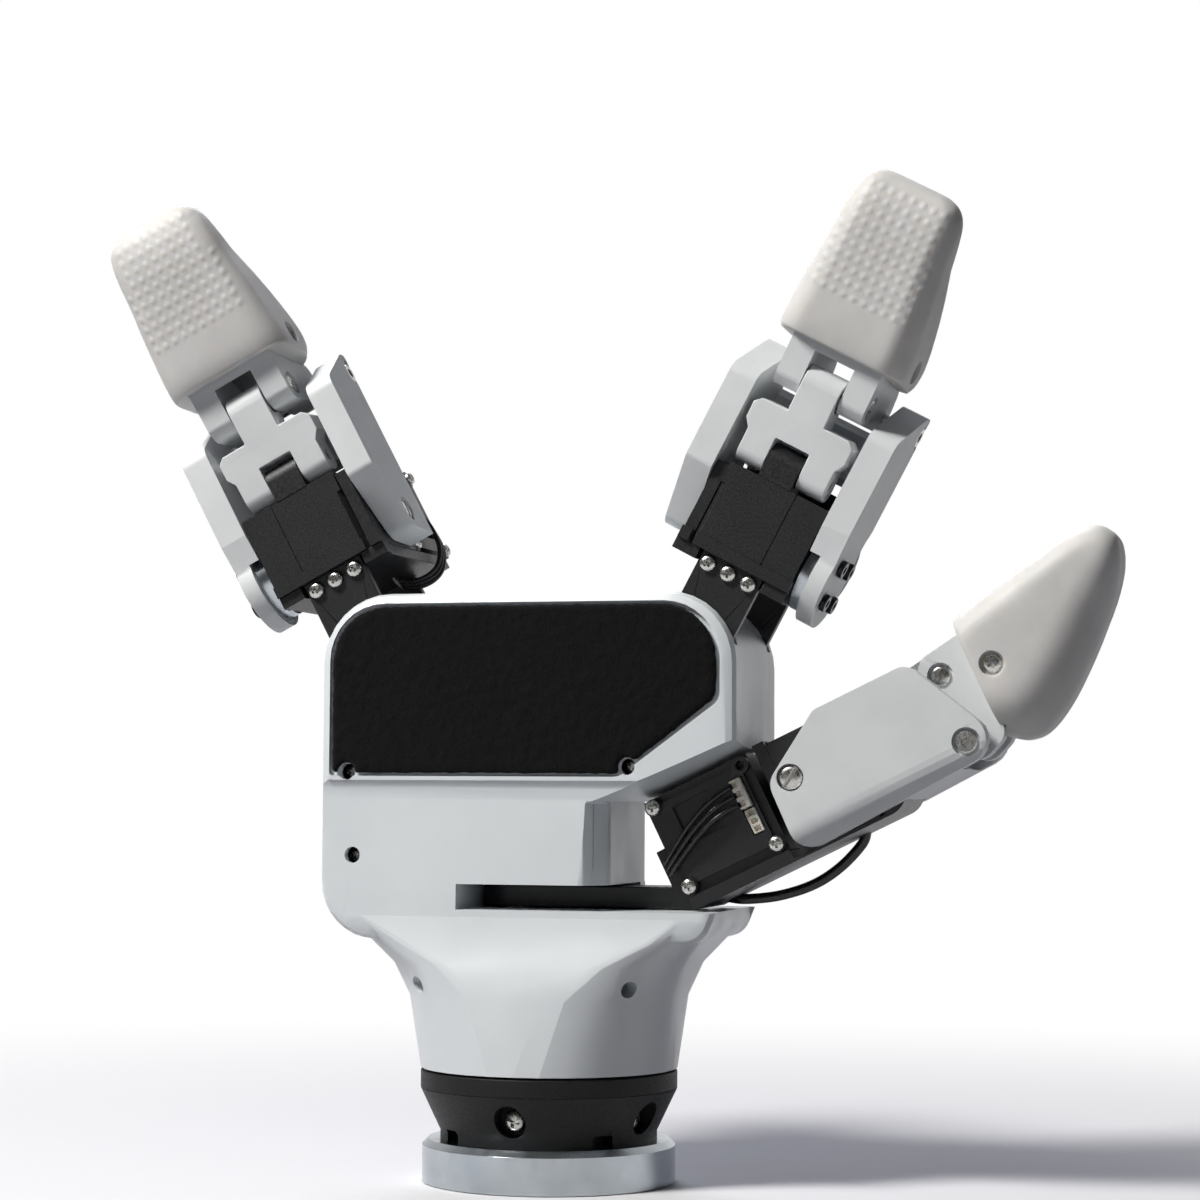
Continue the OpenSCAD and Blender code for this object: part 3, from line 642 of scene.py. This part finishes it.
class HAND_OT_palm_foam(bpy.types.Operator):
    """Lays the foam pad into the palm's pocket, with a slightly ragged edge"""
    bl_idname = "hand.palm_foam"
    bl_label = "Palm foam"

    def execute(self, context):
        bm = bmesh.new()
        bm.from_mesh(NODES["foam_pad"].data)
        bmesh.ops.remove_doubles(bm, verts=bm.verts, dist=WELD)
        obj = mesh_object("foam_sheet", bm, finish("palm_foam"))
        remesh = obj.modifiers.new("Remesh", "REMESH")
        remesh.mode = "VOXEL"
        remesh.voxel_size = 0.7 * MM
        soften = obj.modifiers.new("Smooth", "SMOOTH")
        soften.factor = 0.5
        soften.iterations = 3
        clouds = bpy.data.textures.new("foam edge", "CLOUDS")
        clouds.noise_scale = 2.2 * MM
        ragged = obj.modifiers.new("Ragged", "DISPLACE")
        ragged.texture = clouds
        ragged.texture_coords = "GLOBAL"
        ragged.strength = 0.5 * MM
        ragged.mid_level = 0.6
        apply_modifiers(obj)
        smooth(obj.data)
        place(obj, "palm", "palm_foam", "foam_pad")
        return {"FINISHED"}


# ---------- Screws ----------

# A head's radius is 1 here. Pan head from the rim's foot over the dome to the centre, and the socket
# head of a hexagon screw, as (radius, share of height)
PAN_HEAD = ((1, 0), (1, 0.30), (0.94, 0.58), (0.80, 0.80), (0.55, 0.94), (0, 1))
SOCKET_HEAD = ((1, 0), (1, 0.84), (0.92, 1), (0, 1))
HEAD_SIDES = 28
# Drives: half length and half width of an arm at the top, the share of its length that a cross keeps
# at its foot, the hexagon's radius, and how much of the head's height stays under them
CROSS_ARM = (0.66, 0.155)
CROSS_FOOT = 0.55
SLOT_ARM = (1.3, 0.17)
HEXAGON = 0.52
DRIVE_FLOOR = 0.14
# A pivot screw or tip pin longer than this goes through the finger and has a head on both sides
THROUGH = 20 * MM
# Shell screws below this height stand square to the neck's wall; the others face the palm's front
NECK_TOP = 60 * MM
# Base screws of an upper finger further to the palm side than this sit in its bracket
BRACKET_SIDE = -8 * MM


def head_solid(h, kind):
    """Head of a screw along +Z with its drive recess, for a radius of 1."""
    profile = SOCKET_HEAD if kind == "hex" else PAN_HEAD
    bm = bmesh.new()
    rings = [[(x, y, share * h) for x, y in circle(r, HEAD_SIDES)] for r, share in profile[:-1]]
    last = loft(bm, rings, closed=False)[-1]
    top = bm.verts.new((0, 0, profile[-1][1] * h))
    for k in range(HEAD_SIDES):
        bm.faces.new((last[k], last[(k + 1) % HEAD_SIDES], top))
    obj = mesh_object("head", bm, finish("bright_steel"))
    cut(obj, [drive(h, kind, turned) for turned in ((False, True) if kind == "cross" else (False,))])
    return obj


def drive(h, kind, turned):
    """Solid that cuts a screw's drive: one arm of a cross, a slot, or a hexagon."""
    if kind == "hex":
        top = foot = circle(HEXAGON, 6)
    else:
        length, width = CROSS_ARM if kind == "cross" else SLOT_ARM
        top = [(-length, -width), (length, -width), (length, width), (-length, width)]
        foot = [(x * (CROSS_FOOT if kind == "cross" else 1), y) for x, y in top]
    if turned:
        top, foot = ([(-y, x) for x, y in ring] for ring in (top, foot))
    bm = bmesh.new()
    loft(bm, [[(x, y, DRIVE_FLOOR * h) for x, y in foot], [(x, y, 1.5 * h) for x, y in top]])
    return bm


head_meshes = {}


def add_head(bm, kind, foot, direction, r, h, spin):
    """Adds a copy of a screw head to a mesh: centre of its foot, outward direction, radius, height."""
    key = (kind, round(h / r, 2))
    if key not in head_meshes:
        obj = head_solid(h / r, kind)
        head_meshes[key] = obj.data
        bpy.data.objects.remove(obj)
    m = (Matrix.Translation(foot) @ direction.to_track_quat("Z", "Y").to_matrix().to_4x4()
         @ Matrix.Rotation(spin, 4, "Z") @ Matrix.Scale(r, 4))
    before = len(bm.verts)
    bm.from_mesh(head_meshes[key])
    bm.verts.ensure_lookup_table()
    for v in bm.verts[before:]:
        v.co = m @ v.co


def add_shank(bm, a, b, r):
    """Adds a plain round shank between two points."""
    m = (b - a).normalized().to_track_quat("Z", "Y").to_matrix()
    loft(bm, [[end + m @ Vector((x, y, 0)) for x, y in circle(r, 20)] for end in (a, b)])


def extent(points, centre, direction):
    """Reach of a round solid along a direction from its centre, radius at its ends, and largest radius."""
    places = [(p - centre).dot(direction) for p in points]
    radii = [(p - centre - direction * t).length for p, t in zip(points, places)]
    low, high = min(places), max(places)
    ends = [max(r for r, t in zip(radii, places) if abs(t - end) < 0.05 * MM) for end in (low, high)]
    return low, high, ends, max(radii)


def screw_set(node, body, outwards, kind, slot_name="bright_steel", head_h=1.4, through_too=False):
    """Screws in place of a CAD node: heads with drives, and plain shanks behind them.

    outwards is a direction, or gives it from a screw's centre. kind is the drive, or the drives of the
    short screws and of those that go through the finger; head_h is the heads' height in mm.
    """
    rng = random.Random(node)
    bm = bmesh.new()
    for points in islands(node):
        centre = sum(points, Vector()) / len(points)
        direction = outwards(centre) if callable(outwards) else outwards
        low, high, ends, radius = extent(points, centre, direction)
        through = through_too and high - low > THROUGH
        h = min(head_h * MM, (high - low) * 0.8)
        for place_at, sign in ((high, 1), (low, -1))[:2 if through else 1]:
            foot = centre + direction * (place_at - sign * h)
            drive_kind = kind if isinstance(kind, str) else kind[through]
            add_head(bm, drive_kind, foot, direction * sign, max(ends), h, rng.uniform(0, math.pi))
        start, shank = (low + h, 0.56 * radius) if through else (low, min(*ends, 0.62 * radius))
        add_shank(bm, centre + direction * start, centre + direction * (high - h), shank)
    obj = mesh_object(node + "_set", bm, finish(slot_name))
    obj.data.set_sharp_from_angle(angle=math.radians(35))
    return place(obj, body, slot_name, node)


def from_wrist(p):
    """Outwards from the wrist's axis."""
    return Vector((p.x, p.y, 0)).normalized()


def from_shell(p):
    return from_wrist(p) if p.z < NECK_TOP else Vector((0, -1, 0))


class HAND_OT_screws(bpy.types.Operator):
    """Sets the screws with their drive recesses"""
    bl_idname = "hand.screws"
    bl_label = "Screws"

    def execute(self, context):
        screw_set("wrist_screws", "palm", from_wrist, "cross", head_h=1.6)
        screw_set("shell_screws", "palm", from_shell, "cross", head_h=1.2)
        for finger in FINGERS:
            m = finger_frame(finger).to_3x3()
            across = (m @ Vector((1, 0, 0))).normalized()
            origin = spot(finger + "_flex")

            def from_side(p):
                return across * (1 if (p - origin).dot(across) > 0 else -1)

            def from_base(p):
                if finger != "thumb" and (m.inverted() @ (p - origin)).y < BRACKET_SIDE:
                    return (m @ Vector((0, -1, 0))).normalized()
                return from_side(p)

            proximal, tip = finger + "_proximal", finger + "_tip"
            screw_set(finger + "_base_screws", finger + "_base", from_base, "cross")
            screw_set(finger + "_horn_screws", proximal, across, "hex", "black_screws")
            screw_set(finger + "_tip_pins", tip, from_side, "cross", head_h=0.95, through_too=True)
            screw_set(finger + "_pivot_screws", proximal, from_side, ("slot", "hex"), head_h=1.2,
                      through_too=True)
        return {"FINISHED"}


# ---------- Wires and their plugs ----------

# Plug and route of the middle wire behind an upper finger, in the finger's own frame, mm:
# out of the plug, down past the servo and back in under the bracket
REAR_PLUG = ((-16.4, 23.6, 0.6), (-13.2, 26.6, 8.2))
REAR_ROUTE = (
    (-15.0, 26.4, 4.4), (-15.6, 28.4, 4.2), (-17.0, 31.2, 2.4), (-17.8, 31.8, -2.0), (-17.6, 30.6, -7.0),
    (-15.6, 27.6, -11.4), (-12.0, 24.0, -13.2), (-7.6, 20.4, -12.4), (-6.0, 19.0, -9.4),
)
# Spacing of the wires at the plug, the share of it that they give up as they close into a bundle over
# the first points of the route, and how far the outer ones then move across the bundle, mm
WIRE_PITCH = 2.2
BUNDLING = 0.62
BUNDLE_POINTS = 4
BUNDLE_SHIFT = 0.9
WIRE = 1.3
# Lead that hangs under the thumb's housing, and its diameter
THUMB_LEAD = (
    (10.5, 17.0, 6.0), (10.5, 19.6, 3.5), (11.0, 22.4, -4.0), (11.2, 23.4, -12.0), (11.0, 22.2, -21.0),
    (10.5, 19.4, -29.0), (10.5, 17.0, -33.0),
)
LEAD = 2.6
# The thumb's plug, and the empty socket beside it
THUMB_PLUG = ((-15.6, -6.2, -15.4), (-10.7, 1.2, -12.6))
THUMB_SOCKET = ((-13.9, 1.7, -15.3), (-11.0, 7.8, -12.5))
# Each connector has three ways. Shares of a connector that its walls, its pockets' depth and the
# plug's notches take, and where a pocket starts and stops within its way
WAYS = 3
WALL = 0.22
POCKET_DEPTH = 0.45
NOTCH_HEIGHT = 0.6
POCKET_SPAN = (0.2, 0.8)
# Steps of a wire between two points of its route
WIRE_STEPS = 8


class HAND_OT_wires(bpy.types.Operator):
    """Runs the wires and sets their plugs and sockets"""
    bl_idname = "hand.wires"
    bl_label = "Wires"

    def execute(self, context):
        for finger in ("index", "middle"):
            self.connector(finger + "_plug", finger, REAR_PLUG)
            for k in (-1, 0, 1):
                route = []
                for j, point in enumerate(REAR_ROUTE):
                    closed = BUNDLING * min(1, j / BUNDLE_POINTS)
                    route.append(Vector(point)
                                 + Vector((0, -BUNDLE_SHIFT * k * closed, k * WIRE_PITCH * (1 - closed))))
                self.wire("%s_wire_%d" % (finger, k + 2), finger, route, WIRE)
        self.connector("thumb_socket", "thumb", THUMB_SOCKET)
        self.connector("thumb_connector", "thumb", THUMB_PLUG, notched=True, stands_for=("thumb_plug",))
        self.wire("thumb_lead", "thumb", THUMB_LEAD, LEAD)
        return {"FINISHED"}

    def wire(self, name, finger, route, diameter):
        """Round wire along a smooth route given in the finger's own frame, in mm."""
        m = finger_frame(finger)
        steps = range(WIRE_STEPS * (len(route) - 1) + 1)
        path = [m @ (Vector(catmull(route, t / WIRE_STEPS)) * MM) for t in steps]
        data = bpy.data.curves.new(name, "CURVE")
        data.dimensions = "3D"
        data.bevel_depth = diameter / 2 * MM
        data.bevel_resolution = 4
        data.use_fill_caps = True
        spline = data.splines.new("POLY")
        spline.points.add(len(path) - 1)
        for point, co in zip(spline.points, path):
            point.co = (*co, 1)
        data.materials.append(finish("wire_sheath"))
        obj = into_scene(bpy.data.objects.new(name, data))
        return place(obj, finger + "_base", "wire_sheath")

    def connector(self, name, finger, box, notched=False, stands_for=()):
        """Small connector with pockets in its outer face, or notches that its wires enter from below."""
        low, high = (Vector(c) for c in box)
        bm = bmesh.new()
        add_block(bm, low, high)
        obj = mesh_object(name, bm, finish("white_plug"))
        size = high - low
        along = 2 if size.z > size.y else 1
        pockets = []
        for k in range(WAYS):
            a, b = low + WALL * size, high - WALL * size
            a[along], b[along] = (low[along] + size[along] * (k + share) / WAYS for share in POCKET_SPAN)
            # The cutters stand 1 mm out of the faces that they open
            a.x, b.x = low.x - 1, low.x + POCKET_DEPTH * size.x
            if notched:
                a.z, b.z = low.z - 1, low.z + NOTCH_HEIGHT * size.z
            pockets.append(bmesh.new())
            add_block(pockets[-1], a, b)
        cut(obj, pockets)
        from_finger(obj.data, finger_frame(finger))
        edges = obj.modifiers.new("Edges", "BEVEL")
        edges.width, edges.segments = 0.18 * MM, 2
        apply_modifiers(obj)
        return place(obj, finger + "_base", "white_plug", *stands_for)


def add_block(bm, low, high):
    """Adds a block between two corners."""
    outline = ((low.x, low.y), (high.x, low.y), (high.x, high.y), (low.x, high.y))
    loft(bm, [[(x, y, z) for x, y in outline] for z in (low.z, high.z)])


# ---------- Stage ----------

# The view: azimuth round the hand, tilt and roll in degrees, distance from the wrist axis, how far
# right of the axis and how high the middle of the view is, and the lens in mm
VIEW_AZIMUTH, VIEW_TILT, VIEW_ROLL = 16.0, 3.84, 0.33
VIEW_DISTANCE = 730.5 * MM
VIEW_CENTRE = (12.0 * MM, 144.7 * MM)
VIEW_LENS = 86.8
# Where the lamps are aimed
AIM = Vector((0, 0, 130 * MM))
# Lamps: name, place, width and height in metres, share of the key lamp's power, colour
LAMPS = (
    ("Key", (-0.66, -0.74, 1.22), (0.36, 0.36), 1, "#fffdfa"),
    ("Fill", (0.95, -0.75, 0.30), (0.5, 0.9), 0.006, "#e2e6ff"),
    ("Rim", (-0.35, 0.95, 1.05), (0.5, 0.5), 0.25, "#eef0ff"),
)
AMBIENT = 0.05
FLOOR_HALF = 1.6
# The floor lies this far under the hand
FLOOR_GAP = 0.2 * MM
# The paper floor turns into the white backdrop between these distances from the wrist, m
FLOOR_FADE = (0.10, 0.55)
# Brightness of the room that polished metal mirrors, from in front of the hand to behind it
ROOM = {"From Min": -0.15, "From Max": 0.95, "To Min": 0.045, "To Max": 0.8}
WHITE = (1, 1, 1, 1)


class HAND_OT_stage(bpy.types.Operator):
    """Sets the floor, the lamps and the camera"""
    bl_idname = "hand.stage"
    bl_label = "Stage"

    def execute(self, context):
        self.floor()
        self.room()
        self.lamps()
        self.camera()
        bpy.context.scene.view_settings.view_transform = "Standard"
        return {"FINISHED"}

    def floor(self):
        paper = surface("Paper floor", None, None, (0.75, 0.85), (6,), ())
        tree = paper.node_tree
        principled = tree.nodes["Principled BSDF"]
        light = add(tree, "ShaderNodeLightPath").outputs
        # Little of the light that falls on the paper is thrown back up at the hand. The colour sockets
        # of a mix node are 6 and 7, and its colour result is 2.
        thrown = add(tree, "ShaderNodeMix", {"Factor": light["Is Diffuse Ray"]}, data_type="RGBA")
        set_sockets(thrown, {6: (*settings().backdrop, 1), 7: srgb("#8c8c90")})
        tree.links.new(thrown.outputs[2], principled.inputs["Base Color"])
        # Away from the hand the paper fades into the white backdrop, as seen by the camera and in
        # reflections, but it throws no more light
        mirrored = add(tree, "ShaderNodeMath", {0: light["Is Glossy Ray"], 1: light["Is Transmission Ray"]},
                       operation="MAXIMUM").outputs[0]
        seen = add(tree, "ShaderNodeMath", {0: mirrored, 1: light["Is Camera Ray"]},
                   operation="MAXIMUM").outputs[0]
        coords = tree.nodes["Texture Coordinate"].outputs["Object"]
        away = add(tree, "ShaderNodeVectorMath", {0: coords}, operation="LENGTH").outputs["Value"]
        fade = add(tree, "ShaderNodeMapRange", {"Value": away}, interpolation_type="SMOOTHSTEP")
        set_sockets(fade, {"From Min": FLOOR_FADE[0], "From Max": FLOOR_FADE[1]})
        share = add(tree, "ShaderNodeMath", {0: fade.outputs["Result"], 1: seen},
                    operation="MULTIPLY").outputs[0]
        glow = add(tree, "ShaderNodeEmission", Color=WHITE, Strength=1.0).outputs[0]
        mix = add(tree, "ShaderNodeMixShader", {0: share, 1: principled.outputs[0], 2: glow}).outputs[0]
        tree.links.new(mix, tree.nodes["Material Output"].inputs["Surface"])
        bm = bmesh.new()
        bmesh.ops.create_grid(bm, x_segments=1, y_segments=1, size=FLOOR_HALF)
        floor = mesh_object("floor", bm, paper, rounded=False)
        floor.location.z = -FLOOR_GAP

    def room(self):
        world = bpy.data.worlds.new("Studio")
        bpy.context.scene.world = world
        world.use_nodes = True
        tree = world.node_tree
        tree.nodes.clear()
        light = add(tree, "ShaderNodeLightPath").outputs
        seen = add(tree, "ShaderNodeMath", {0: light["Is Camera Ray"], 1: light["Is Transmission Ray"]},
                   operation="MAXIMUM").outputs[0]
        ambient = add(tree, "ShaderNodeBackground", Color=srgb("#dfe4ee"), Strength=AMBIENT).outputs[0]
        backdrop = add(tree, "ShaderNodeBackground", Color=WHITE, Strength=1.0).outputs[0]
        # Polished metal sees the lit backdrop behind the hand and a dimmer room in front of it
        way = add(tree, "ShaderNodeSeparateXYZ", {0: add(tree, "ShaderNodeTexCoord").outputs["Generated"]})
        bright = add(tree, "ShaderNodeMapRange", {"Value": way.outputs["Y"]})
        set_sockets(bright, ROOM)
        strength = {"Strength": bright.outputs["Result"]}
        mirrored = add(tree, "ShaderNodeBackground", strength, Color=WHITE).outputs[0]
        glossy = add(tree, "ShaderNodeMixShader", {0: light["Is Glossy Ray"], 1: ambient, 2: mirrored})
        mix = add(tree, "ShaderNodeMixShader", {0: seen, 1: glossy.outputs[0], 2: backdrop}).outputs[0]
        add(tree, "ShaderNodeOutputWorld", {"Surface": mix})

    def lamps(self):
        for name, place_at, size, share, colour in LAMPS:
            data = bpy.data.lights.new(name, "AREA")
            data.shape = "RECTANGLE"
            data.size, data.size_y = size
            data.energy = settings().lamp_power * share
            data.color = srgb(colour)[:3]
            lamp = into_scene(bpy.data.objects.new(name, data))
            lamp.location = place_at
            lamp.rotation_euler = (AIM - lamp.location).to_track_quat("-Z", "Y").to_euler()

    def camera(self):
        a, tilt = math.radians(VIEW_AZIMUTH), math.radians(VIEW_TILT)
        ahead = Vector((-math.sin(a) * math.cos(tilt), math.cos(a) * math.cos(tilt), math.sin(tilt)))
        right = Vector((math.cos(a), math.sin(a), 0))
        data = bpy.data.cameras.new("Camera")
        data.lens, data.sensor_width = VIEW_LENS, 36
        camera = into_scene(bpy.data.objects.new("Camera", data))
        centre = Vector((0, 0, VIEW_CENTRE[1]))
        eye = centre - ahead * VIEW_DISTANCE
        look = centre + right * VIEW_CENTRE[0] - eye
        turn = look.to_track_quat("-Z", "Y").to_matrix().to_4x4()
        roll = Matrix.Rotation(math.radians(VIEW_ROLL), 4, "Z")
        camera.matrix_world = Matrix.Translation(eye) @ turn @ roll
        bpy.context.scene.camera = camera


class HAND_PT_panel(bpy.types.Panel):
    """Sizes and steps of the robot hand"""
    bl_label = "Robot Hand"
    bl_space_type = "VIEW_3D"
    bl_region_type = "UI"
    bl_category = "Robot Hand"

    def draw(self, context):
        for name in HandSettings.__annotations__:
            self.layout.prop(context.scene.hand_settings, name)
        for step in STEPS:
            self.layout.operator(step.bl_idname)


STEPS = (
    HAND_OT_stage, HAND_OT_finishes, HAND_OT_wires, HAND_OT_fingertips, HAND_OT_palm_foam, HAND_OT_screws,
)
CLASSES = (HandSettings, *STEPS, HAND_PT_panel)


def register():
    for c in CLASSES:
        bpy.utils.register_class(c)
    bpy.types.Scene.hand_settings = PointerProperty(type=HandSettings)


def unregister():
    del bpy.types.Scene.hand_settings
    for c in reversed(CLASSES):
        bpy.utils.unregister_class(c)


def main():
    register()
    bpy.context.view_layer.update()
    for step in STEPS:
        group, name = step.bl_idname.split(".")
        getattr(getattr(bpy.ops, group), name)()


if __name__ == "__main__":
    main()
